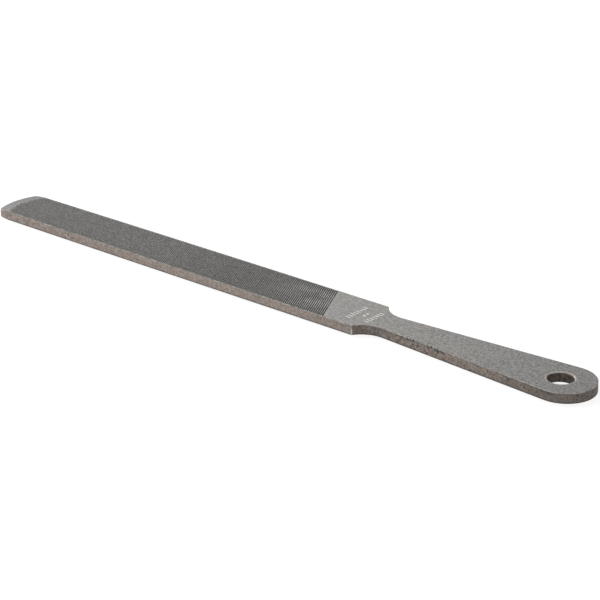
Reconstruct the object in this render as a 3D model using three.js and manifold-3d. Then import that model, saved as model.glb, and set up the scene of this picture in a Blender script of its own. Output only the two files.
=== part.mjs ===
// A flat hand file forged in one piece: a toothed blade, a smooth heel with square shoulders, a narrow neck,
// and a flat handle that widens to a rounded end with a hanging hole.
// Millimetres. +Z is up, the blade points to -X, and the underside lies on z = 0. The origin is the middle of
// the underside's length.

import * as THREE from "three";
import { mergeVertices } from "three/addons/utils/BufferGeometryUtils.js";
import Module from "manifold-3d";

const wasm = await Module();
wasm.setup();

// Driving dimensions. Distances along the file are counted from the shoulders, where x is 0 until the end.
const WIDTH = 24;
const THICKNESS = 4.2;
const BLADE_LENGTH = 204; // shoulders to the crown of the tip
const HANDLE_LENGTH = 104; // shoulders to the far end of the handle

// The blade is parallel from the shoulders to here, then narrows very slightly to its tip.
const PARALLEL_LENGTH = 48;
const TIP_NARROWING = 0.6; // on each side
const TIP_CROWN_RADIUS = 27;
const TIP_CORNER_RADIUS = 2.8;

// The tip is ground to a shallow bevel on both faces, with a curved ridge.
const GRIND_LENGTH = 5; // from the crown of the tip back to the ridge
const GRIND_DROP = 0.6; // at the crown of the tip
const GRIND_RIDGE_RADIUS = 21;

// Each shoulder is cut away by a round scoop, which leaves the corner at this angle to the file's length.
const SCOOP_RADIUS = WIDTH / 2;
const SCOOP_START_ANGLE = THREE.MathUtils.degToRad(57.5);

const HANDLE_END_RADIUS = 12.5;
const HOLE_RADIUS = 5.2;
const HOLE_FROM_END = 14.2; // far end of the handle to the centre of the hole

const CURVE_STEPS = 18; // three.js makes twice as many steps on a round arc
const RIDGE_STEPS = 96; // round the whole circle of the grind's ridge
const CUT_CLEARANCE = 1; // how far a cutting solid stands clear of the steel

const QUARTER = Math.PI / 2;
const STEEL_GREY = 0x8e8c89;

// Where the handle's straight edge touches the scoop and the round end. The edge is the line that has the
// scoop's circle on its outer side and the end's circle on its inner side.
function handleLayout() {
  const scoop = new THREE.Vector2(
    SCOOP_RADIUS * Math.sin(SCOOP_START_ANGLE),
    WIDTH / 2 + SCOOP_RADIUS * Math.cos(SCOOP_START_ANGLE),
  );
  const end = new THREE.Vector2(HANDLE_LENGTH - HANDLE_END_RADIUS, 0);
  const between = end.clone().sub(scoop);
  const slope =
    Math.atan2(between.y, between.x) +
    Math.asin((SCOOP_RADIUS + HANDLE_END_RADIUS) / between.length());
  return { scoop, end, slope };
}

// The circles of the tip: a wide crown, and a small corner that touches it from inside.
function tipLayout() {
  const halfWidth = WIDTH / 2 - TIP_NARROWING;
  const crownX = TIP_CROWN_RADIUS - BLADE_LENGTH;
  const cornerY = halfWidth - TIP_CORNER_RADIUS;
  const cornerX = crownX - Math.sqrt((TIP_CROWN_RADIUS - TIP_CORNER_RADIUS) ** 2 - cornerY ** 2);
  const joinAngle = Math.atan2(cornerY, cornerX - crownX);
  return { halfWidth, crownX, cornerX, cornerY, joinAngle };
}

// The outline seen from above, counter-clockwise from the shoulder on the -Y side.
function outline() {
  const { scoop, end, slope } = handleLayout();
  const tip = tipLayout();
  const bendX = (tip.cornerX - PARALLEL_LENGTH) / 2;
  const shape = new THREE.Shape();
  shape.moveTo(0, -WIDTH / 2);
  shape.absarc(
    scoop.x,
    -scoop.y,
    SCOOP_RADIUS,
    QUARTER + SCOOP_START_ANGLE,
    QUARTER - slope,
    true,
  );
  shape.absarc(end.x, end.y, HANDLE_END_RADIUS, -QUARTER - slope, QUARTER + slope, false);
  shape.absarc(
    scoop.x,
    scoop.y,
    SCOOP_RADIUS,
    slope - QUARTER,
    -QUARTER - SCOOP_START_ANGLE,
    true,
  );
  shape.lineTo(-PARALLEL_LENGTH, WIDTH / 2);
  shape.quadraticCurveTo(bendX, WIDTH / 2, tip.cornerX, tip.halfWidth);
  shape.absarc(tip.cornerX, tip.cornerY, TIP_CORNER_RADIUS, QUARTER, tip.joinAngle, false);
  shape.absarc(tip.crownX, 0, TIP_CROWN_RADIUS, tip.joinAngle, -tip.joinAngle, false);
  shape.absarc(tip.cornerX, -tip.cornerY, TIP_CORNER_RADIUS, -tip.joinAngle, -QUARTER, false);
  shape.quadraticCurveTo(bendX, -WIDTH / 2, -PARALLEL_LENGTH, -WIDTH / 2);
  shape.closePath();
  return shape;
}

function hangingHole() {
  const hole = new THREE.Path();
  hole.absarc(HANDLE_LENGTH - HOLE_FROM_END, 0, HOLE_RADIUS, 0, 2 * Math.PI, true);
  return hole;
}

// A closed three.js geometry as a solid that can be joined and cut.
function solidFrom(geometry) {
  const bare = geometry.clone();
  bare.deleteAttribute("normal");
  bare.deleteAttribute("uv");
  const merged = mergeVertices(bare);
  return new wasm.Manifold(
    new wasm.Mesh({
      numProp: 3,
      vertProperties: merged.attributes.position.array,
      triVerts: new Uint32Array(merged.index.array),
    }),
  );
}

function geometryFrom(solid) {
  const mesh = solid.getMesh();
  const indexed = new THREE.BufferGeometry();
  indexed.setAttribute("position", new THREE.BufferAttribute(mesh.vertProperties, 3));
  indexed.setIndex(new THREE.BufferAttribute(mesh.triVerts, 1));
  const flat = indexed.toNonIndexed();
  flat.computeVertexNormals();
  return flat;
}

// The blank as it is forged: one even thickness, with the hole through it.
function blank() {
  const shape = outline();
  shape.holes.push(hangingHole());
  return new THREE.ExtrudeGeometry(shape, {
    depth: THICKNESS,
    bevelEnabled: false,
    curveSegments: CURVE_STEPS,
  });
}

// What the grinder takes off one face at the tip: the space above a shallow cone that falls away from its
// ridge. Only the half of the ring that lies towards the tip is kept.
function tipGrind(underside) {
  const slope = GRIND_DROP / GRIND_LENGTH;
  const width = 2 * GRIND_LENGTH;
  const outer = GRIND_RIDGE_RADIUS + width;
  const ridgeCentreX = GRIND_RIDGE_RADIUS + GRIND_LENGTH - BLADE_LENGTH;
  const profile = [
    new THREE.Vector2(GRIND_RIDGE_RADIUS, 0),
    new THREE.Vector2(outer, -slope * width),
    new THREE.Vector2(outer, CUT_CLEARANCE),
    new THREE.Vector2(GRIND_RIDGE_RADIUS, CUT_CLEARANCE),
    new THREE.Vector2(GRIND_RIDGE_RADIUS, 0),
  ];
  const ring = new THREE.LatheGeometry(profile, RIDGE_STEPS);
  ring.rotateX(QUARTER);
  ring.translate(ridgeCentreX, 0, THICKNESS);
  const tipHalf = new THREE.BoxGeometry(2 * outer, 2 * outer, 2 * THICKNESS);
  tipHalf.translate(ridgeCentreX - outer, 0, THICKNESS);
  if (underside) {
    for (const geometry of [ring, tipHalf]) {
      geometry.rotateX(Math.PI);
      geometry.translate(0, 0, THICKNESS);
    }
  }
  return solidFrom(ring).intersect(solidFrom(tipHalf));
}

function fileBody() {
  const solid = solidFrom(blank()).subtract(tipGrind(false)).subtract(tipGrind(true));
  const material = new THREE.MeshStandardMaterial({
    color: STEEL_GREY,
    roughness: 0.5,
    metalness: 0.9,
  });
  const mesh = new THREE.Mesh(geometryFrom(solid), material);
  mesh.name = "file_body";
  mesh.position.x = (BLADE_LENGTH - HANDLE_LENGTH) / 2;
  return mesh;
}

const flatFile = new THREE.Group();
flatFile.add(fileBody());

export default flatFile;
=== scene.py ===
"""A flat hand file made from one bar of steel, lying on a pale table in soft studio light."""

import math

import bpy
import numpy as np
from mathutils import Matrix, Vector, geometry, noise


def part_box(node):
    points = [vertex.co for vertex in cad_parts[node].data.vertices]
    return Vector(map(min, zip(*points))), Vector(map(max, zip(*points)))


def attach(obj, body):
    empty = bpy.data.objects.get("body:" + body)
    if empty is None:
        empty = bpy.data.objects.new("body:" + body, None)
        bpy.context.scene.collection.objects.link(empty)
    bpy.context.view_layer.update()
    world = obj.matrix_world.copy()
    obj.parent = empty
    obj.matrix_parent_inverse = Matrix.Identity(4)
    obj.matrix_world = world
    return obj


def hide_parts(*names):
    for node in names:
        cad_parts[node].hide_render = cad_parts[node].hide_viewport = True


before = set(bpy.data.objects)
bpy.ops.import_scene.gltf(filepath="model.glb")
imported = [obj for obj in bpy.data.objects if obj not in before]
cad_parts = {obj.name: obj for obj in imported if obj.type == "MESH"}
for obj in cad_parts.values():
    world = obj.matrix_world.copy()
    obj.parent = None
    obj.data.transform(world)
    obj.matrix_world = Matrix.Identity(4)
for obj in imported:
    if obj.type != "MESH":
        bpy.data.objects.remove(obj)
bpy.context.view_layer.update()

# ---------------------------------------------------------------------------------------------
# Driving dimensions, in millimetres. Along the file, x is 0 at the shoulders. The blade points to -x and
# the handle to +x. place() turns these into the frame's metres.
# ---------------------------------------------------------------------------------------------
MM = 0.001
body_low, body_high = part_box("file_body")
THICKNESS = (body_high.z - body_low.z) / MM
LENGTH = (body_high.x - body_low.x) / MM
WIDTH = 24.0
BLADE_LENGTH = 204.0
HANDLE_LENGTH = LENGTH - BLADE_LENGTH
SHOULDER_X = body_low.x / MM + BLADE_LENGTH

# The blade is parallel at first, then narrows very slightly to its rounded and ground tip.
PARALLEL_LENGTH = 48.0
TIP_NARROWING = 0.6  # on each side
TIP_HALF_WIDTH = WIDTH / 2 - TIP_NARROWING
TIP_CROWN_RADIUS = 27.0
TIP_CORNER_RADIUS = 2.8
GRIND_LENGTH = 5.0  # from the crown of the tip back to the curved ridge
GRIND_DROP = 0.6  # at the crown of the tip
GRIND_SLOPE = GRIND_DROP / GRIND_LENGTH
RIDGE_RADIUS = 21.0
RIDGE_CENTRE_X = RIDGE_RADIUS + GRIND_LENGTH - BLADE_LENGTH

# Round scoops behind the shoulders leave the neck, and the handle widens to its end.
SCOOP_RADIUS = WIDTH / 2
SCOOP_START_ANGLE = math.radians(57.5)  # the shoulder's corner, from the length of the file
HANDLE_END_RADIUS = (body_high.y - body_low.y) / 2 / MM
HOLE_RADIUS = 5.2
HOLE_FROM_END = 14.2  # far end of the handle to the centre of the hole
HOLE_X = HANDLE_LENGTH - HOLE_FROM_END
HOLE_CHAMFER = 0.35
HOLE_UNDERSIDE_DROP = 0.06  # on the underside the hole's edge is almost sharp

EDGE_BREAK = 0.12  # the small worn bevel along every edge
SHOULDER_ROUNDING = 0.36  # how far the worn rounding of each shoulder's corner reaches along its two sides
SURFACE_WAVE = 0.012  # the unevenness of the hand-ground heel and handle
SURFACE_WAVE_SIZE = 9.0
WAVE_MARGIN = 0.5  # from their waves to the first row of teeth
WALL_HOLLOW = 0.05  # the deepest unevenness of the forged walls
WALL_HOLLOW_SIZE = 2.2
WALL_LEVELS = (0.7, 0.5, 0.3)  # the rings of points up the outer wall, as shares of the thickness

# Forging chips along one edge of the neck.
CHIP_DEPTH = 0.6
CHIPS_START_X = 18.0
CHIPS_END_X = 46.0
CHIPS_FADE = 8.0  # they get shallower over this distance towards both ends
CHIP_SIZE = 1.1
FINE_CHIP_SIZE = 0.7
CHIP_SLICES = (23, 32)  # the heights in the noise that the chips and the fine chips are read from

# The teeth: rows slanted across the blade (the up-cut), crossed by shallower grooves (the overcut).
HEEL_X = -20.0  # where the first row crosses the middle of the blade
ROW_SLANT = math.radians(25.3)  # from square across the blade
ROW_PITCH = 0.88
ROW_PROFILE = ((0, 0.18), (0.60, 0), (0.70, 0))  # shares of the pitch, and the depth at each
ROW_UNEVENNESS = 0.03  # how far a row's own pitch may be from the mean, as a share of it
OVERCUT_ANGLE = math.radians(45.0)  # from the length of the blade
OVERCUT_PITCH = 1.15
OVERCUT_PROFILE = ((0, 0.13), (0.30, 0), (0.70, 0))
OVERCUT_UNEVENNESS = 0.05
RUN_IN = 0.3  # from the heel line to the first full-depth groove
RUN_OUT = 1.2  # the teeth fade over this distance before the ground tip
EDGE_FADE = 0.6  # they get shallower over this distance before the long edges
EDGE_SHARE = 0.4  # and keep this share of their depth there

OUTLINE_STEP = 0.8
NECK_STEP = 0.4  # finer, for the chips
CORNER_STEPS = 5  # round the worn corner of each shoulder
HOLE_POINTS = 96
FILL_STEP = 1.9  # between the points on the smooth faces
FILL_JITTER = 0.3  # how far each is moved, as a share of the step
SHARP_ANGLE = math.radians(24)  # edges that turn further than this are drawn as sharp
rng = np.random.default_rng(7)


# ---------------------------------------------------------------------------------------------
# The outline
# ---------------------------------------------------------------------------------------------
def arc(centre, radius, start, end, step=OUTLINE_STEP):
    """Points along an arc, both ends included, no further apart than step."""
    steps = max(8, math.ceil(abs(end - start) * radius / step))
    turn = np.linspace(start, end, steps + 1)
    return np.column_stack([centre[0] + radius * np.cos(turn), centre[1] + radius * np.sin(turn)])


def bezier(start, pull, end, steps):
    t = np.linspace(0, 1, steps + 1)[:, None]
    return (1 - t) ** 2 * np.array(start) + 2 * t * (1 - t) * np.array(pull) + t**2 * np.array(end)


def straight(start, end, step=OUTLINE_STEP):
    steps = math.ceil(math.dist(start, end) / step)
    return np.linspace(start, end, steps + 1)


def half_handle():
    """The +y half of the handle's outline, from its far end to the worn corner of the shoulder."""
    scoop = np.array([
        SCOOP_RADIUS * math.sin(SCOOP_START_ANGLE),
        WIDTH / 2 + SCOOP_RADIUS * math.cos(SCOOP_START_ANGLE),
    ])
    end = np.array([HANDLE_LENGTH - HANDLE_END_RADIUS, 0.0])
    between = end - scoop
    slope = math.atan2(between[1], between[0]) + math.asin(
        (SCOOP_RADIUS + HANDLE_END_RADIUS) / math.hypot(*between)
    )
    rounding = SHOULDER_ROUNDING / SCOOP_RADIUS
    scoop_end = rounding - math.pi / 2 - SCOOP_START_ANGLE
    round_end = arc(end, HANDLE_END_RADIUS, 0, math.pi / 2 + slope)
    scooped = arc(scoop, SCOOP_RADIUS, slope - math.pi / 2, scoop_end, NECK_STEP)
    corner = bezier(scooped[-1], (0, WIDTH / 2), (-SHOULDER_ROUNDING, WIDTH / 2), CORNER_STEPS)
    edge = straight(round_end[-1], scooped[0], NECK_STEP)
    return [round_end, edge[1:], scooped[1:], corner[1:]]


def half_blade(start):
    """The +y half of the blade's outline, from the shoulder to the crown of the tip, without its start."""
    crown_x = TIP_CROWN_RADIUS - BLADE_LENGTH
    corner_y = TIP_HALF_WIDTH - TIP_CORNER_RADIUS
    corner_x = crown_x - math.sqrt((TIP_CROWN_RADIUS - TIP_CORNER_RADIUS) ** 2 - corner_y**2)
    join = math.atan2(corner_y, corner_x - crown_x)
    parallel_end = (-PARALLEL_LENGTH, WIDTH / 2)
    bend = ((corner_x - PARALLEL_LENGTH) / 2, WIDTH / 2)
    narrowing_steps = math.ceil((-PARALLEL_LENGTH - corner_x) / OUTLINE_STEP)
    parallel = straight(start, parallel_end)
    narrowing = bezier(parallel_end, bend, (corner_x, TIP_HALF_WIDTH), narrowing_steps)
    corner = arc((corner_x, corner_y), TIP_CORNER_RADIUS, math.pi / 2, join)
    crown = arc((crown_x, 0), TIP_CROWN_RADIUS, join, math.pi)
    return [parallel[1:], narrowing[1:], corner[1:], crown[1:]]


def whole_outline():
    """Counter-clockwise and symmetric: point k mirrors point -k."""
    handle = half_handle()
    half = np.concatenate(handle + half_blade(handle[-1][-1]))
    return np.concatenate([half, half[-2:0:-1] * (1, -1)])


def chain(count, first=0, closed=True):
    """Edges that join count points, numbered from first, in a row or a loop."""
    last = count if closed else count - 1
    return [(first + k, first + (k + 1) % count) for k in range(last)]


def inward(loop):
    """The direction into the steel at each point of a counter-clockwise loop."""
    along = np.roll(loop, -1, 0) - np.roll(loop, 1, 0)
    normal = np.column_stack([-along[:, 1], along[:, 0]])
    return normal / np.linalg.norm(normal, axis=1)[:, None]


def wander(x, y, z, size):
    """Smooth noise from -1 to 1 at one point, with bumps about as wide as size."""
    return noise.noise(Vector((x / size, y / size, z / size)))


def chips(loop):
    """How deep the forging has chipped the edge at each point of the outline."""
    coarse_slice, fine_slice = CHIP_SLICES
    depths = []
    for x, y in loop:
        from_ends = min(x - CHIPS_START_X, CHIPS_END_X - x) / CHIPS_FADE
        share = np.clip(from_ends, 0, 1) if y < 0 else 0
        fine = wander(x, y, fine_slice, FINE_CHIP_SIZE)
        rough = wander(x, y, coarse_slice, CHIP_SIZE) + 0.5 * fine
        depths.append(CHIP_DEPTH * share * np.clip(4 * rough, 0, 1))
    return np.array(depths)


# ---------------------------------------------------------------------------------------------
# Teeth
# ---------------------------------------------------------------------------------------------
def groove_places(start, end, pitch, profile, uneven):
    """Where a run of grooves changes its slope, and how deep it is there."""
    places = []
    depths = []
    place = start
    while place < end:
        step = pitch * (1 + uneven * rng.uniform(-1, 1))
        strength = 1 + 2 * uneven * rng.uniform(-1, 1)
        for share, depth in profile:
            places.append(place + share * step)
            depths.append(depth * strength)
        place += step
    return np.array(places), np.array(depths)


# The directions square to the up-cut's rows, and to the overcut's grooves.
TO_CUTS = np.array([
    [-math.cos(ROW_SLANT), -math.sin(ROW_SLANT)],
    [math.sin(OVERCUT_ANGLE), -math.cos(OVERCUT_ANGLE)],
])
ROW_SPAN = (BLADE_LENGTH + HEEL_X) * math.cos(ROW_SLANT) + WIDTH / 2 * math.sin(ROW_SLANT)
row_places, row_depths = groove_places(RUN_IN, ROW_SPAN, ROW_PITCH, ROW_PROFILE, ROW_UNEVENNESS)
row_places = np.concatenate([[0], row_places])
row_depths = np.concatenate([[0], row_depths])
OVERCUT_END = WIDTH
OVERCUT_START = -(BLADE_LENGTH + HEEL_X) * math.sin(OVERCUT_ANGLE) - WIDTH
overcut_places, overcut_depths = groove_places(
    OVERCUT_START, OVERCUT_END, OVERCUT_PITCH, OVERCUT_PROFILE, OVERCUT_UNEVENNESS
)


def blade_half_width(x):
    """Half the blade's width: parallel, then narrowing along a parabola to the tip."""
    share = np.clip((-PARALLEL_LENGTH - x) / (BLADE_LENGTH - TIP_CORNER_RADIUS - PARALLEL_LENGTH), 0, 1)
    return WIDTH / 2 - (WIDTH / 2 - TIP_HALF_WIDTH) * share**2


def past_ridge(x, y):
    """Distance beyond the curved ridge where the ground tip starts; negative on the teeth's side."""
    distance = np.hypot(x - RIDGE_CENTRE_X, y) - RIDGE_RADIUS
    return np.where(x < RIDGE_CENTRE_X, distance, -RIDGE_RADIUS)


def past_heel(x, y):
    """Distance beyond the slanted line where the teeth start, towards the tip."""
    return TO_CUTS[0, 0] * (x - HEEL_X) + TO_CUTS[0, 1] * y


def tooth_depth(x, y):
    row = past_heel(x, y)
    across = TO_CUTS[1, 0] * (x - HEEL_X) + TO_CUTS[1, 1] * y
    up_cut = np.interp(row, row_places, row_depths)
    overcut = np.interp(across, overcut_places, overcut_depths)
    fade = np.clip(row / RUN_IN, 0, 1) * np.clip(-past_ridge(x, y) / RUN_OUT, 0, 1)
    to_edge = blade_half_width(x) - np.abs(y)
    return (up_cut + overcut) * fade * np.clip(to_edge / EDGE_FADE, EDGE_SHARE, 1)


def tooth_lattice():
    """The points where the up-cut's and the overcut's lines cross on the blade, and their edges."""
    rows, across = np.meshgrid(row_places, overcut_places, indexing="ij")
    back = np.linalg.inv(TO_CUTS)
    x = HEEL_X + back[0, 0] * rows + back[0, 1] * across
    y = back[1, 0] * rows + back[1, 1] * across
    on_blade = (np.abs(y) < blade_half_width(x)) & (past_ridge(x, y) < 0)
    number = np.arange(x.size).reshape(x.shape)
    pairs = []
    for first, second in (
        ((slice(None, -1), slice(None)), (slice(1, None), slice(None))),
        ((slice(None), slice(None, -1)), (slice(None), slice(1, None))),
    ):
        wanted = on_blade[first] | on_blade[second]
        pairs.append(np.column_stack([number[first][wanted], number[second][wanted]]))
    pairs = np.concatenate(pairs)
    used, edges = np.unique(pairs, return_inverse=True)
    points = np.column_stack([x.ravel(), y.ravel()])[used]
    return points, edges.reshape(pairs.shape)


# ---------------------------------------------------------------------------------------------
# Stamped marks on the heel: two rows of plain tally bars and two dots, which stand for no name
# ---------------------------------------------------------------------------------------------
MARK_DEPTH = 0.12
MARK_WALL = 0.12  # how wide a mark's sloping wall is
BAR_HALF_SIZES = (1.3, 0.3)  # along the file, and across it
BAR_PITCH = 1.64
FIRST_BARS = ((-6.5, 5.3, 8), (2.1, 4.7, 7))  # x and y of each row's first bar, and how many it has
DOT_HALF_SIZES = (0.7, 0.55)
DOT_PITCH = 2.0
FIRST_DOT = (-2.2, 0.8)
MARKED_X = (-10.0, 6.0)  # the part of the heel that is kept free for the marks
MARKED_HALF_WIDTH = 8.0


def stamped_marks():
    """Each mark as (centre x, centre y, half its length along x, half its width along y)."""
    marks = []
    for x, y, count in FIRST_BARS:
        marks += [(x, y - BAR_PITCH * k, *BAR_HALF_SIZES) for k in range(count)]
    return marks + [(FIRST_DOT[0], FIRST_DOT[1] - DOT_PITCH * k, *DOT_HALF_SIZES) for k in range(2)]


def mark_outlines():
    """The rims and floors of the stamped marks, as points and the edges between them."""
    points = []
    edges = []
    for x, y, half_x, half_y in stamped_marks():
        for shrink in (0, MARK_WALL):
            edges += chain(4, len(points))
            for side_x, side_y in ((-1, -1), (1, -1), (1, 1), (-1, 1)):
                points.append((x + side_x * (half_x - shrink), y + side_y * (half_y - shrink)))
    return np.array(points), edges


def mark_depth(x, y):
    """Stamped depth at a point: zero outside a mark and at its rim, full depth on its floor."""
    depth = np.zeros(x.shape)
    for centre_x, centre_y, half_x, half_y in stamped_marks():
        inside = np.minimum(half_x - np.abs(x - centre_x), half_y - np.abs(y - centre_y))
        depth = np.maximum(depth, MARK_DEPTH * np.clip(inside / MARK_WALL, 0, 1))
    return depth


# ---------------------------------------------------------------------------------------------
# The detailed body: two triangulated faces, joined by rings round the outline and the hole
# ---------------------------------------------------------------------------------------------
def inside_rim(x, y, rim, margin=0.0):
    """Which points lie inside the rim, and further than margin from it in y."""
    crown = len(rim) // 2
    upper = rim[crown::-1]
    lower = np.concatenate([rim[crown:], rim[:1]])
    below_upper = y < np.interp(x, upper[:, 0], upper[:, 1]) - margin
    above_lower = y > np.interp(x, lower[:, 0], lower[:, 1]) + margin
    return below_upper & above_lower


def fill_points(rim):
    """Loosely spaced points for the smooth heel, handle and ground tip."""
    xs = np.arange(-BLADE_LENGTH, HANDLE_LENGTH, FILL_STEP)
    ys = np.arange(-WIDTH / 2, WIDTH / 2 + FILL_STEP, FILL_STEP)
    x, y = (grid.ravel() for grid in np.meshgrid(xs, ys))
    x = x + rng.uniform(-FILL_JITTER, FILL_JITTER, x.size) * FILL_STEP
    y = y + rng.uniform(-FILL_JITTER, FILL_JITTER, y.size) * FILL_STEP
    margin = FILL_STEP / 2
    smooth = (past_heel(x, y) < -margin) | (past_ridge(x, y) > margin / 2)
    inside = inside_rim(x, y, rim, margin)
    clear = np.hypot(x - HOLE_X, y) > HOLE_RADIUS + HOLE_CHAMFER + margin
    off_marks = ~((np.abs(y) < MARKED_HALF_WIDTH) & (x > MARKED_X[0]) & (x < MARKED_X[1]))
    keep = smooth & inside & clear & off_marks
    return np.column_stack([x[keep], y[keep]])


def ridge_points():
    """The curved ridge between the teeth and the ground tip, past both edges of the blade."""
    reach = math.asin(WIDTH / 2 / RIDGE_RADIUS)
    return arc((RIDGE_CENTRE_X, 0), RIDGE_RADIUS, math.pi - reach, math.pi + reach)


def triangulate(rim, hole_rim):
    """One face of the file as flat triangles: its points, and its triangles counter-clockwise."""
    lattice, lattice_edges = tooth_lattice()
    marks, mark_edges = mark_outlines()
    ridge = ridge_points()
    fill = fill_points(rim)
    points = []
    edges = []
    for group, group_edges in (
        (rim, chain(len(rim))),
        (hole_rim, chain(len(hole_rim))),
        (ridge, chain(len(ridge), closed=False)),
        (marks, mark_edges),
        (lattice, lattice_edges.tolist()),
        (fill, []),
    ):
        first = len(points)
        points += [Vector(p) for p in group]
        edges += [(a + first, b + first) for a, b in group_edges]
    found = geometry.delaunay_2d_cdt(points, edges, [], 0, 1e-5, False)
    flat = np.array([tuple(p) for p in found[0]])
    triangles = np.array([list(f) for f in found[2]])
    middle = flat[triangles].mean(1)
    in_rim = inside_rim(middle[:, 0], middle[:, 1], rim)
    off_hole = np.hypot(middle[:, 0] - HOLE_X, middle[:, 1]) > HOLE_RADIUS + HOLE_CHAMFER
    triangles = triangles[in_rim & off_hole]
    corner = flat[triangles]
    side_a = corner[:, 1] - corner[:, 0]
    side_b = corner[:, 2] - corner[:, 0]
    clockwise = side_a[:, 0] * side_b[:, 1] < side_a[:, 1] * side_b[:, 0]
    triangles[clockwise] = triangles[clockwise][:, ::-1]
    used, packed = np.unique(triangles, return_inverse=True)
    return flat[used], packed.reshape(triangles.shape)


def rim_loops(triangles):
    """The loops of points round the open edges, shortest first, each in the direction of its triangles."""
    sides = np.concatenate([triangles[:, [0, 1]], triangles[:, [1, 2]], triangles[:, [2, 0]]])
    have = set(map(tuple, sides.tolist()))
    following = {a: b for a, b in have if (b, a) not in have}
    loops = []
    while following:
        start, point = following.popitem()
        loop = [start]
        while point != start:
            loop.append(point)
            point = following.pop(point)
        loops.append(np.array(loop))
    return sorted(loops, key=len)


def place_on_loop(points, loop):
    """Which side of the loop each point lies on, as the number of that side's start plus a share."""
    side = np.roll(loop, -1, 0) - loop
    gap = points[:, None, :] - loop[None, :, :]
    share = np.clip((gap * side).sum(2) / (side**2).sum(1), 0, 1)
    miss = np.linalg.norm(gap - share[:, :, None] * side, axis=2)
    nearest = miss.argmin(1)
    return (nearest + share[np.arange(len(points)), nearest]) % len(loop)


def at_place(places, loop):
    """The points of a loop at the places that place_on_loop gives."""
    first = places.astype(int)
    share = (places - first)[:, None]
    return loop[first % len(loop)] * (1 - share) + loop[(first + 1) % len(loop)] * share


class Body:
    """Vertices and faces of the detailed body as they are added, with a material number for each face."""

    def __init__(self):
        self.vertices = []
        self.faces = []
        self.materials = []

    def add_ring(self, flat, heights):
        """Adds a row of vertices and gives their numbers."""
        first = sum(len(v) for v in self.vertices)
        self.vertices.append(np.column_stack([flat, np.broadcast_to(heights, len(flat))]))
        return np.arange(first, first + len(flat))

    def add_faces(self, faces, materials):
        faces = np.asarray(faces)
        self.faces.append(faces)
        self.materials.append(np.broadcast_to(materials, len(faces)))

    def add_strip(self, upper, lower, materials):
        """Joins two closed rings that have the same number of points."""
        quads = np.column_stack([upper, lower, np.roll(lower, -1), np.roll(upper, -1)])
        self.add_faces(quads, materials)

    def zip_rings(self, upper_ring, lower_ring, side_materials):
        """Joins two closed rings. Each is its points and their sorted places along one loop of sides."""
        upper, upper_places = upper_ring
        lower, lower_places = lower_ring
        loop_length = len(side_materials)
        faces = []
        materials = []
        i = j = 0
        while i < len(upper) or j < len(lower):
            next_upper = upper_places[i + 1] if i + 1 < len(upper) else loop_length + upper_places[0]
            next_lower = lower_places[j + 1] if j + 1 < len(lower) else loop_length + lower_places[0]
            a, b = upper[i % len(upper)], lower[j % len(lower)]
            if j >= len(lower) or (i < len(upper) and next_upper <= next_lower):
                faces.append((a, b, upper[(i + 1) % len(upper)]))
                i += 1
            else:
                faces.append((a, b, lower[(j + 1) % len(lower)]))
                j += 1
            materials.append(side_materials[int(min(next_upper, next_lower)) % loop_length])
        self.add_faces(faces, np.array(materials))


GROUND, TEETH, SCALE, STAMPED, BORE, WORN_GLINT, EDGE = range(7)


def surface_waves(x, y):
    """How far the hand-ground faces lie below the true face at each point."""
    return np.array([SURFACE_WAVE * (1 - wander(a, b, 3, SURFACE_WAVE_SIZE)) for a, b in zip(x, y)])


def face_height(flat, stamped):
    """The height of one face above the middle of the steel."""
    x, y = flat[:, 0], flat[:, 1]
    height = THICKNESS / 2 - np.clip(past_ridge(x, y), 0, None) * GRIND_SLOPE
    height = height - tooth_depth(x, y)
    smooth = (past_heel(x, y) < -WAVE_MARGIN).nonzero()[0]
    height[smooth] -= surface_waves(x[smooth], y[smooth])
    if stamped:
        height = height - mark_depth(x, y)
    return height


def face_materials(flat, triangles, stamped):
    middle = flat[triangles].mean(1)
    x, y = middle[:, 0], middle[:, 1]
    materials = np.full(len(triangles), GROUND)
    materials[(past_heel(x, y) > 0) & (past_ridge(x, y) < 0)] = TEETH
    if stamped:
        materials[mark_depth(x, y) > 0] = STAMPED
    return materials


def hole_rim():
    """The outer edge of the hole's chamfer."""
    turn = np.linspace(0, math.tau, HOLE_POINTS + 1)[:-1]
    radius = HOLE_RADIUS + HOLE_CHAMFER
    return np.column_stack([HOLE_X + radius * np.cos(turn), radius * np.sin(turn)])


def wall_hollow(outline, chipped, z):
    """How far the forged wall lies inside the outline at one height."""
    hollow = []
    for (x, y), depth in zip(outline, chipped):
        uneven = WALL_HOLLOW * abs(wander(x, y, z, WALL_HOLLOW_SIZE))
        hollow.append(uneven + 0.5 * depth * max(wander(x, y, z, CHIP_SIZE), 0))
    return np.array(hollow)


def add_outer_wall(body, outline, chipped, places, top_ring, low_ring):
    """The wall round the file, between the edges of its two faces."""
    count = len(outline)
    own_places = np.arange(count, dtype=float)
    rings = [(top_ring, places)]
    for level in WALL_LEVELS:
        z = THICKNESS * level
        flat = outline + inward(outline) * wall_hollow(outline, chipped, z)[:, None]
        rings.append((body.add_ring(flat, z), own_places))
    # The underside is turned over, so its places run the other way round.
    low_places = (count - places) % count
    order = np.argsort(low_places)
    rings.append((low_ring[order], low_places[order]))

    at_shoulder = np.abs(outline[:, 0]) < 0.9 * SHOULDER_ROUNDING
    worn_glinting_corner = at_shoulder & (np.abs(outline[:, 1]) > WIDTH / 2 - 1)
    # The shoulders' corners get a lighter material: wear, and a painted highlight of the corners' glint.
    side_materials = np.where(worn_glinting_corner, WORN_GLINT, SCALE)
    for upper, lower in zip(rings, rings[1:]):
        body.zip_rings(upper, lower, side_materials)


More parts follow.
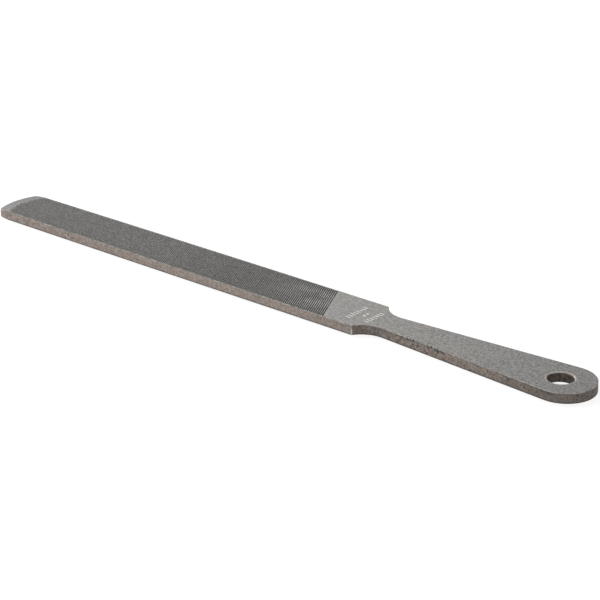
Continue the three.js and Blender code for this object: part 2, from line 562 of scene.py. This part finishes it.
def build_body():
    """The whole file, in millimetres: both faces with their bevelled edges, the outer wall and the bore."""
    outline = whole_outline()
    chipped = chips(outline)
    rim = outline + inward(outline) * (EDGE_BREAK + chipped)[:, None]
    flat, triangles = triangulate(rim, hole_rim())
    hole_loop, rim_loop = rim_loops(triangles)
    rim_loop = np.roll(rim_loop, -np.argmax(flat[rim_loop, 0]))
    places = place_on_loop(flat[rim_loop], rim)
    places[0] = 0
    outer = at_place(places, outline)
    drop = EDGE_BREAK + at_place(places, chipped[:, None])[:, 0]
    # The deeper chips are as dark as the bore: painted shade for the inside of the chips.
    edge_materials = np.where(drop > EDGE_BREAK + CHIP_DEPTH / 4, BORE, EDGE)
    bore = (flat[hole_loop] - (HOLE_X, 0)) * HOLE_RADIUS / (HOLE_RADIUS + HOLE_CHAMFER) + (HOLE_X, 0)

    body = Body()
    outer_rings = []
    bore_rings = []
    for sign, stamped, hole_drop in ((1, True, HOLE_CHAMFER), (-1, False, HOLE_UNDERSIDE_DROP)):
        # The underside is the top turned over about the file's length.
        turned = (1, sign)
        height = face_height(flat, stamped)
        sheet = body.add_ring(flat * turned, THICKNESS / 2 + sign * height)
        body.add_faces(sheet[triangles], face_materials(flat, triangles, stamped))
        outer_ring = body.add_ring(outer * turned, THICKNESS / 2 + sign * (height[rim_loop] - drop))
        bore_ring = body.add_ring(bore * turned, THICKNESS / 2 + sign * (height[hole_loop] - hole_drop))
        body.add_strip(sheet[rim_loop], outer_ring, edge_materials)
        body.add_strip(sheet[hole_loop], bore_ring, EDGE)
        outer_rings.append(outer_ring)
        bore_rings.append(bore_ring)
    add_outer_wall(body, outline, chipped, places, *outer_rings)
    top_bore, low_bore = bore_rings
    body.add_strip(top_bore, low_bore[mirror_order(flat[hole_loop])], BORE)
    return body


def mirror_order(points):
    """For each point of a loop, the number of the point that becomes it when y changes sign."""
    wanted = points * (1, -1)
    gap = np.linalg.norm(wanted[:, None, :] - points[None, :, :], axis=2)
    return gap.argmin(1)


def place(vertices):
    """From millimetres counted from the shoulders to the frame's metres."""
    return (vertices + np.array([SHOULDER_X, 0, body_low.z / MM])) * MM


def make_file():
    body = build_body()
    vertices = place(np.concatenate(body.vertices))
    faces = [tuple(f) for group in body.faces for f in group.tolist()]
    mesh = bpy.data.meshes.new("flat_file")
    mesh.from_pydata(vertices.tolist(), [], faces)
    mesh.polygons.foreach_set("material_index", np.concatenate(body.materials).astype(np.int32))
    mesh.polygons.foreach_set("use_smooth", np.ones(len(faces), bool))
    mesh.set_sharp_from_angle(angle=SHARP_ANGLE)
    mesh.update()
    piece = bpy.data.objects.new("flat_file", mesh)
    bpy.context.scene.collection.objects.link(piece)
    return piece


# ---------------------------------------------------------------------------------------------
# Materials. Sizes in the patterns are millimetres on the file.
# ---------------------------------------------------------------------------------------------
class Recipe:
    """One procedural material. A socket's value is a number, a colour or another node's output.

    spot is the place on the file. along is counted from the shoulders, across from the middle of the width,
    and height from the underside.
    """

    def __init__(self, name, metallic):
        self.material = bpy.data.materials.new(name)
        self.material.use_nodes = True
        self.tree = self.material.node_tree
        self.shader = self.tree.nodes["Principled BSDF"]
        self.shader.inputs["Metallic"].default_value = metallic
        spot = self.node("ShaderNodeTexCoord").outputs["Object"]
        scaled = self.node("ShaderNodeVectorMath", {0: spot}, operation="SCALE")
        scaled.inputs["Scale"].default_value = 1 / MM
        self.spot = scaled.outputs[0]
        x, self.across, self.height = self.node("ShaderNodeSeparateXYZ", {0: self.spot}).outputs
        self.along = self.math("SUBTRACT", x, SHOULDER_X)

    def node(self, kind, inputs=None, **settings):
        made = self.tree.nodes.new(kind)
        for name, value in settings.items():
            setattr(made, name, value)
        for socket, value in (inputs or {}).items():
            self.feed(made.inputs[socket], value)
        return made

    def feed(self, socket, value):
        if isinstance(value, bpy.types.NodeSocket):
            self.tree.links.new(value, socket)
        else:
            socket.default_value = (*value, 1) if isinstance(value, tuple) and len(value) == 3 else value

    def math(self, operation, a, b=0.0):
        return self.node("ShaderNodeMath", {0: a, 1: b}, operation=operation).outputs[0]

    def noise(self, size, detail=2.0, roughness=0.5, stretch=(1, 1, 1), shift=0.0):
        """Noise from 0 to 1 with grains about as wide as size, drawn out along an axis by stretch."""
        place = self.spot
        if stretch != (1, 1, 1) or shift:
            mapping = self.node("ShaderNodeMapping", {"Vector": place})
            mapping.inputs["Scale"].default_value = [1 / part for part in stretch]
            mapping.inputs["Location"].default_value = (shift, shift, shift)
            place = mapping.outputs[0]
        inputs = {"Vector": place, "Scale": 1 / size, "Detail": detail, "Roughness": roughness}
        return self.node("ShaderNodeTexNoise", inputs).outputs[0]

    def span(self, value, low, high, to_low=0.0, to_high=1.0):
        """Maps low..high to to_low..to_high and holds it there outside."""
        inputs = {"Value": value, "From Min": low, "From Max": high, "To Min": to_low, "To Max": to_high}
        return self.node("ShaderNodeMapRange", inputs).outputs[0]

    def mix(self, share, first, second, blend="MIX"):
        made = self.node("ShaderNodeMix", data_type="RGBA", blend_type=blend)
        self.feed(made.inputs["Factor"], share)
        self.feed(made.inputs[6], first)
        self.feed(made.inputs[7], second)
        return made.outputs[2]

    def finish(self, colour, roughness, height=None, rise=0.0):
        """height is a 0 to 1 pattern and rise the millimetres between its lowest and highest."""
        self.feed(self.shader.inputs["Base Color"], colour)
        self.feed(self.shader.inputs["Roughness"], roughness)
        if height is not None:
            bump = self.node("ShaderNodeBump", {"Height": height})
            bump.inputs["Strength"].default_value = 1.0
            bump.inputs["Distance"].default_value = rise * MM
            self.feed(self.shader.inputs["Normal"], bump.outputs[0])
        return self.material


def ground_steel():
    """The smooth heel, handle and ground tip: a dull grey with a fine grain, and painted shade that darkens
    it towards the handle's end.
    """
    steel = Recipe("ground_steel", 0.7)
    grain = steel.noise(1.0, 2, 0.6)
    speck = steel.noise(0.5, 1, 0.5, shift=31)
    tone = steel.math("ADD", steel.math("MULTIPLY", grain, 0.6), steel.math("MULTIPLY", speck, 0.4))
    colour = steel.mix(steel.span(tone, 0.40, 0.60), (0.102, 0.096, 0.089), (0.216, 0.205, 0.193))
    rubs = steel.noise(0.6, 2, 0.6, stretch=(24, 1, 1))
    colour = steel.mix(steel.span(rubs, 0.60, 0.72, 0, 0.3), colour, (0.31, 0.305, 0.30))
    clouds = steel.noise(14, 3, 0.5, shift=5)
    stain = steel.span(clouds, 0.42, 0.62, 0, 0.5)
    colour = steel.mix(stain, colour, (0.88, 0.93, 1.0), "MULTIPLY")
    even = steel.span(steel.along, 0, 2 * SCOOP_RADIUS, 0.3, 0)
    colour = steel.mix(even, colour, (0.156, 0.148, 0.139))
    # Painted shade: the face darkens steadily towards the handle's end, away from the light.
    painted_falloff = steel.span(steel.along, -8, HANDLE_LENGTH)
    colour = steel.mix(painted_falloff, colour, (0.85, 0.865, 0.88), "MULTIPLY")
    colour = tarnished_tip(steel, colour)
    colour = rubbed_rim(steel, colour)
    roughness = steel.span(grain, 0.3, 0.7, 0.45, 0.60)
    return steel.finish(colour, roughness, tone, 0.025)


def tarnished_tip(steel, colour):
    """Darkens the ground bevel at the tip."""
    tarnish = steel.span(steel.along, -BLADE_LENGTH, 2 * GRIND_LENGTH - BLADE_LENGTH, 0.9, 0.8)
    on_tip = steel.math("LESS_THAN", steel.along, 3 * GRIND_LENGTH - BLADE_LENGTH)
    return steel.mix(steel.math("MULTIPLY", tarnish, on_tip), colour, (0.058, 0.0565, 0.0545))


def rubbed_rim(steel, colour):
    """Adds a narrow light ring round the hanging hole."""
    past_hole = steel.math("SUBTRACT", steel.along, HOLE_X)
    squares = [steel.math("MULTIPLY", offset, offset) for offset in (past_hole, steel.across)]
    from_centre = steel.math("SQRT", steel.math("ADD", *squares))
    rim_radius = HOLE_RADIUS + HOLE_CHAMFER
    rubbed = steel.span(from_centre, rim_radius + 0.1, rim_radius + 0.6, 0.75, 0)
    return steel.mix(rubbed, colour, (0.27, 0.253, 0.243))


def cut_steel():
    """The teeth: crisp next to the heel, and fouled and dull towards the tip."""
    steel = Recipe("cut_steel", 0.7)
    from_middle = steel.math("ABSOLUTE", steel.math("SUBTRACT", steel.height, THICKNESS / 2))
    crest = steel.span(from_middle, THICKNESS / 2 - 0.13, THICKNESS / 2 - 0.01)
    grain = steel.noise(1.0, 1, 0.5)
    fouled = steel.span(steel.along, HEEL_X - 12, HEEL_X - 34, 0, 0.95)
    colour = steel.mix(fouled, crisp_teeth(steel, crest, grain), fouled_teeth(steel, crest, grain))
    darker = steel.math("ADD", dark_bands(steel), near_side(steel, fouled))
    colour = steel.mix(darker, colour, (0.01, 0.009, 0.008))
    return steel.finish(colour, steel.span(grain, 0.3, 0.7, 0.52, 0.64))


def crisp_teeth(steel, crest, grain):
    """Light crests over black gullets, worn duller in patches and near the long edges. The gullets' black
    is painted shade, and the crests' light colour is partly a painted highlight.
    """
    patches = steel.span(steel.noise(11, 2, 0.5), 0.50, 0.66, 0, 0.40)
    from_axis = steel.math("ABSOLUTE", steel.across)
    near_edges = steel.span(from_axis, WIDTH / 2 - 6, WIDTH / 2 - 1, 0, 0.65)
    worn = steel.math("MAXIMUM", patches, near_edges)
    bright = steel.mix(steel.span(grain, 0.38, 0.62), (0.335, 0.327, 0.316), (0.448, 0.438, 0.424))
    # Painted shade in the gullets, and partly a painted highlight on the crests.
    return steel.mix(crest, (0.004, 0.004, 0.004), steel.mix(worn, bright, (0.085, 0.083, 0.08)))


def fouled_teeth(steel, crest, grain):
    """Teeth packed with dirt: crests and gullets of almost one grey, with darker smears."""
    packed = steel.mix(steel.span(grain, 0.40, 0.60), (0.062, 0.060, 0.057), (0.136, 0.132, 0.125))
    dull = steel.mix(crest, steel.mix(0.25, packed, (0.048, 0.046, 0.044)), packed)
    smears = steel.noise(3.4, 3, 0.6, stretch=(1.6, 1, 1), shift=23)
    return steel.mix(steel.span(smears, 0.40, 0.62, 0, 0.30), dull, (0.045, 0.043, 0.041))


def dark_bands(steel):
    """How much two broad bands darken the teeth: one before the heel, and one at the tip."""
    from_band = steel.math("ABSOLUTE", steel.math("ADD", steel.along, 60))
    before_heel = steel.span(from_band, 10, 45, 0.12, 0)
    at_tip = steel.span(steel.along, 20 - BLADE_LENGTH, 70 - BLADE_LENGTH, 0.08, 0)
    return steel.math("MAXIMUM", before_heel, at_tip)


def near_side(steel, fouled):
    """How much the fouled teeth darken towards the -y edge."""
    return steel.math("MULTIPLY", fouled, steel.span(steel.across, -WIDTH / 2, WIDTH / 2, 0.12, 0))


SOOT = (0.105, 0.088, 0.078)


def forge_scale():
    """The side walls: a matt pinkish brown scale, darker and pitted round the neck and handle, with painted
    shade in the scoops, in the pits and along the bottom.
    """
    scale = Recipe("forge_scale", 0.15)
    scale.shader.inputs["Specular IOR Level"].default_value = 0.3
    grain = scale.noise(1.2, 3, 0.65)
    on_handle = scale.span(scale.along, -0.3, 0.3)
    colour = scale.mix(on_handle, blade_scale(scale, grain), handle_scale(scale, grain))
    blotch = scale.noise(5, 2, 0.5, shift=11)
    colour = scale.mix(scale.span(blotch, 0.4, 0.7, 0, 0.3), colour, SOOT)
    pitted = scale_pits(scale, on_handle)
    # The pits are painted almost black: painted shade for the inside of each pit.
    colour = scale.mix(pitted, colour, (0.020, 0.017, 0.015))
    # Painted shade: the walls darken towards their lower edge, as a contact shadow.
    colour = scale.mix(scale.span(scale.height, 0.35, 0.85, 0.7, 0), colour, (0.04, 0.034, 0.03))
    relief = scale.math("SUBTRACT", grain, scale.math("MULTIPLY", pitted, 0.6))
    return scale.finish(colour, scale.span(grain, 0.3, 0.7, 0.55, 0.72), relief, 0.08)


def blade_scale(scale, grain):
    """Light scale along the blade, with a little soot near the shoulders."""
    light = scale.mix(scale.span(grain, 0.38, 0.62), (0.172, 0.141, 0.123), (0.304, 0.256, 0.228))
    return scale.mix(scale.span(scale.along, -50, 0, 0, 0.3), light, SOOT)


def handle_scale(scale, grain):
    """Brown scale along the handle, with painted shade that darkens it in the scoops and round the end."""
    brown = scale.mix(scale.span(grain, 0.38, 0.62), (0.106, 0.087, 0.074), (0.214, 0.179, 0.155))
    # dark is a shaded copy of the brown: painted shade for the scoops and the round end, which face away
    # from the light.
    dark = scale.mix(scale.span(grain, 0.38, 0.62), (0.072, 0.059, 0.051), (0.129, 0.107, 0.093))
    scoop_shade = scale.span(scale.along, 2, 18, 0.95, 0)
    round_end = scale.span(scale.along, HANDLE_LENGTH - 40, HANDLE_LENGTH - 16)
    return scale.mix(scale.math("MAXIMUM", round_end, scoop_shade), brown, dark)


def scale_pits(scale, on_handle):
    """How pitted the scale is: least on the blade, and most along the upper half of the chipped stretch."""
    chipped = scale.math(
        "MINIMUM",
        scale.span(scale.along, CHIPS_START_X - 2, CHIPS_START_X + 6),
        scale.span(scale.along, CHIPS_END_X - 4, CHIPS_END_X + 4, 1, 0),
    )
    from_middle = scale.math("SUBTRACT", scale.height, THICKNESS / 2)
    knocked = scale.math("MULTIPLY", chipped, scale.span(from_middle, 0.6, THICKNESS / 2, 0, 0.24))
    spots = scale.math("ADD", scale.noise(0.9, 1, 0.5, shift=47), knocked)
    pitted = scale.span(spots, 0.60, 0.66)
    share = scale.math("ADD", scale.span(on_handle, 0, 1, 0.3, 0.75), knocked)
    return scale.math("MULTIPLY", pitted, share)


def stamped_steel():
    """The floors of the stamped marks, freshly bruised and lighter than the heel."""
    steel = Recipe("stamped_steel", 0.5)
    grain = steel.noise(0.6, 2)
    colour = steel.mix(steel.span(grain, 0.35, 0.65), (0.26, 0.255, 0.25), (0.48, 0.47, 0.46))
    return steel.finish(colour, 0.5, grain, 0.02)


def bore_scale():
    """The wall of the hanging hole, dark and rough from the punch."""
    scale = Recipe("bore_scale", 0.1)
    scale.shader.inputs["Specular IOR Level"].default_value = 0.2
    grain = scale.noise(1.4, 3, 0.6)
    colour = scale.mix(scale.span(grain, 0.38, 0.62), (0.026, 0.019, 0.016), (0.085, 0.066, 0.056))
    return scale.finish(colour, 0.65, grain, 0.06)


def worn_edge_glint():
    """The corners of the shoulders, rubbed bright in places and lightened as a painted highlight of their
    glint.
    """
    steel = Recipe("worn_edge_glint", 0.6)
    rubbed = steel.noise(3.0, 3, 0.6)
    colour = steel.mix(steel.span(rubbed, 0.40, 0.60), (0.17, 0.165, 0.16), (0.40, 0.39, 0.38))
    return steel.finish(colour, 0.42, rubbed, 0.04)


def broken_edge():
    """The narrow bevel along every edge: dull steel that shows through, most of all by the hole, with
    painted shade on the lower bevels.
    """
    steel = Recipe("broken_edge", 0.3)
    rubbed = steel.noise(2.4, 3, 0.6)
    hole_side = HOLE_X - HOLE_RADIUS
    rubbed = steel.math("ADD", rubbed, steel.span(steel.along, hole_side - 8, hole_side, 0, 0.07))
    colour = steel.mix(steel.span(rubbed, 0.42, 0.60), (0.12, 0.112, 0.105), (0.30, 0.285, 0.27))
    # Painted shade: the bevels darken towards the underside, as a contact shadow.
    colour = steel.mix(steel.span(steel.height, 0.3, 0.8, 0.7, 0), colour, (0.035, 0.03, 0.027))
    return steel.finish(colour, 0.6, rubbed, 0.04)


# ---------------------------------------------------------------------------------------------
# Stage
# ---------------------------------------------------------------------------------------------
def make_floor():
    mesh = bpy.data.meshes.new("floor")
    reach = 4.0
    corners = [(-reach, -reach, 0), (reach, -reach, 0), (reach, reach, 0), (-reach, reach, 0)]
    mesh.from_pydata(corners, [], [(0, 1, 2, 3)])
    floor = bpy.data.objects.new("floor", mesh)
    bpy.context.scene.collection.objects.link(floor)
    paint = bpy.data.materials.new("floor_white")
    paint.use_nodes = True
    shader = paint.node_tree.nodes["Principled BSDF"]
    shader.inputs["Base Color"].default_value = (0.10, 0.10, 0.10, 1)
    shader.inputs["Roughness"].default_value = 0.9
    shader.inputs["Emission Color"].default_value = (1, 1, 1, 1)
    shader.inputs["Emission Strength"].default_value = 0.84
    mesh.materials.append(paint)


def soft_light(name, position, size, power):
    """A square soft box that faces the middle of the file."""
    data = bpy.data.lights.new(name, "AREA")
    data.size = size
    data.energy = power
    light = bpy.data.objects.new(name, data)
    light.location = position
    light.rotation_euler = (-Vector(position)).to_track_quat("-Z", "Y").to_euler()
    bpy.context.scene.collection.objects.link(light)


def make_lights():
    soft_light("key", position=(-1.2, 0.35, 1.2), size=1.2, power=42)
    soft_light("fill", position=(0.3, -1.5, 0.7), size=1.2, power=13)
    world = bpy.data.worlds.new("studio")
    world.use_nodes = True
    sky = world.node_tree.nodes["Background"]
    sky.inputs["Color"].default_value = (1, 1, 1, 1)
    sky.inputs["Strength"].default_value = 0.72
    bpy.context.scene.world = world


def make_camera():
    """The camera stands off the handle's end, on the -y side, and looks down at the file."""
    turn = math.radians(39.938)
    tilt = math.radians(23.288)
    roll = math.radians(-0.173)
    target = Vector((12.046, 2.055, 0)) * MM
    distance = 885.87 * MM
    back = Vector((math.sin(turn) * math.cos(tilt), -math.cos(turn) * math.cos(tilt), math.sin(tilt)))
    right = Vector((0, 0, 1)).cross(back).normalized()
    above = back.cross(right)
    rolled_right = right * math.cos(roll) + above * math.sin(roll)
    rolled_above = above * math.cos(roll) - right * math.sin(roll)
    matrix = Matrix((rolled_right, rolled_above, back)).transposed().to_4x4()
    matrix.translation = target + back * distance
    data = bpy.data.cameras.new("camera")
    data.sensor_width = 36
    data.lens = 130.63
    data.clip_start = 0.05
    data.clip_end = 50
    camera = bpy.data.objects.new("camera", data)
    camera.matrix_world = matrix
    bpy.context.scene.collection.objects.link(camera)
    bpy.context.scene.camera = camera


make_camera()
make_lights()
make_floor()
bpy.context.scene.view_settings.view_transform = "Standard"

file_piece = make_file()
recipes = (ground_steel, cut_steel, forge_scale, stamped_steel, bore_scale, worn_edge_glint, broken_edge)
for recipe in recipes:  # in the order of the material numbers
    file_piece.data.materials.append(recipe())
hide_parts("file_body")
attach(file_piece, "root")
